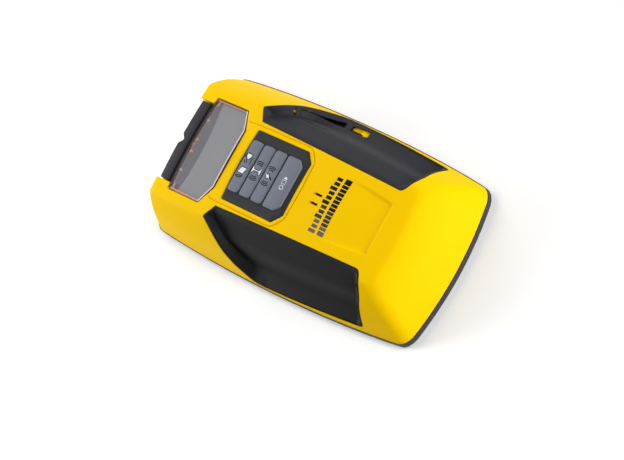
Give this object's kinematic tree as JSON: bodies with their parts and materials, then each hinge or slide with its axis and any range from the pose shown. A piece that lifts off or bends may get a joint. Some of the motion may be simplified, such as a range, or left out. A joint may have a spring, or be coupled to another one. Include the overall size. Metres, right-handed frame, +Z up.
{
  "type": "stud finder",
  "caption": "Handheld electronic stud finder: yellow shell on a black base, side grips, raised display window, spring keys, side button, marking notch and hinged battery door.",
  "frame": {"origin": "middle of the footprint on the resting plane, under the glide pads", "axes": "+Y runs along the length towards the display and the marking notch, +X towards the side with the button, +Z up out of the deck"},
  "size_m": [0.0822, 0.1546, 0.0296],
  "materials": {
    "yellow_shell": "satin moulded ABS with a fine spark texture",
    "black_shell": "fine textured black ABS",
    "grip_rubber": "soft matt overmoulded rubber",
    "clear_window": "clear polished acrylic, slightly smoked",
    "gasket": "thin foam adhesive ring",
    "panel_plastic": "satin dark grey film panel",
    "key_plastic": "matt grey key with printed symbols",
    "switch_plastic": "moulded switch housing",
    "door_plastic": "fine textured black ABS",
    "foam": "closed-cell foam",
    "pad": "low-friction glide strip",
    "screw_steel": "zinc-plated steel",
    "label": "blank silver film",
    "ink": "black printed mark",
    "board": "green solder mask",
    "copper": "copper foil",
    "gold_pin": "gold-plated pins",
    "lcd": "grey twisted-nematic display glass",
    "lcd_plastic": "grey display bezel",
    "light_guide": "milky light guide",
    "elastomer": "layered conductive elastomer",
    "chip": "moulded package",
    "battery_jacket": "painted steel can",
    "red_wire": "red PVC insulation",
    "black_wire": "black PVC insulation"
  },
  "bodies": {
    "case": {"base_shell": "black_shell", "top_shell": "yellow_shell", "left_grip": "grip_rubber", "right_grip": "grip_rubber", "display_lens": "clear_window", "lens_gasket": "gasket", "marking_guide": "black_shell", "keypad_panel": "panel_plastic", "side_switch": "switch_plastic", "glide_pads": "pad", "case_screws": "screw_steel", "rating_label": "label", "deck_mark": "ink", "main_board": "board", "sensor_board": "board", "sensor_plates": "copper", "board_header": "gold_pin", "board_screws": "screw_steel", "lcd_glass": "lcd", "lcd_frame": "lcd_plastic", "backlight": "light_guide", "zebra_strip": "elastomer", "key_switches": "switch_plastic", "microcontroller": "chip", "board_components": "chip", "buzzer": "chip", "battery": "battery_jacket", "battery_snap": "chip", "snap_contacts": "screw_steel", "lead_red": "red_wire", "lead_black": "black_wire"},
    "depth_key": {"depth_key": "key_plastic", "depth_plunger": "switch_plastic"},
    "metal_key": {"metal_key": "key_plastic", "metal_plunger": "switch_plastic"},
    "live_wire_key": {"live_wire_key": "key_plastic", "live_wire_plunger": "switch_plastic"},
    "select_key": {"select_key": "key_plastic", "select_plunger": "switch_plastic"},
    "side_button": {"side_button": "grip_rubber", "side_plunger": "switch_plastic"},
    "battery_door": {"battery_door": "door_plastic", "battery_pad": "foam"}
  },
  "joints": [
    {"name": "depth_press", "type": "slide", "parent": "case", "child": "depth_key", "axis": [0, 0, -1], "range_m": [0, 0.0006], "stiffness_N_per_m": 2500, "springref_m": -0.0002},
    {"name": "metal_press", "type": "slide", "parent": "case", "child": "metal_key", "axis": [0, 0, -1], "range_m": [0, 0.0006], "stiffness_N_per_m": 2500, "springref_m": -0.0002},
    {"name": "live_wire_press", "type": "slide", "parent": "case", "child": "live_wire_key", "axis": [0, 0, -1], "range_m": [0, 0.0006], "stiffness_N_per_m": 2500, "springref_m": -0.0002},
    {"name": "select_press", "type": "slide", "parent": "case", "child": "select_key", "axis": [0, 0, -1], "range_m": [0, 0.0006], "stiffness_N_per_m": 2500, "springref_m": -0.0002},
    {"name": "side_press", "type": "slide", "parent": "case", "child": "side_button", "axis": [-1, 0, 0], "range_m": [0, 0.0012], "stiffness_N_per_m": 2000, "springref_m": -0.0002},
    {"name": "door_swing", "type": "hinge", "parent": "case", "child": "battery_door", "pos_m": [0, -0.0062, 0.0015], "axis": [1, 0, 0], "range_deg": [0, 100]}
  ]
}
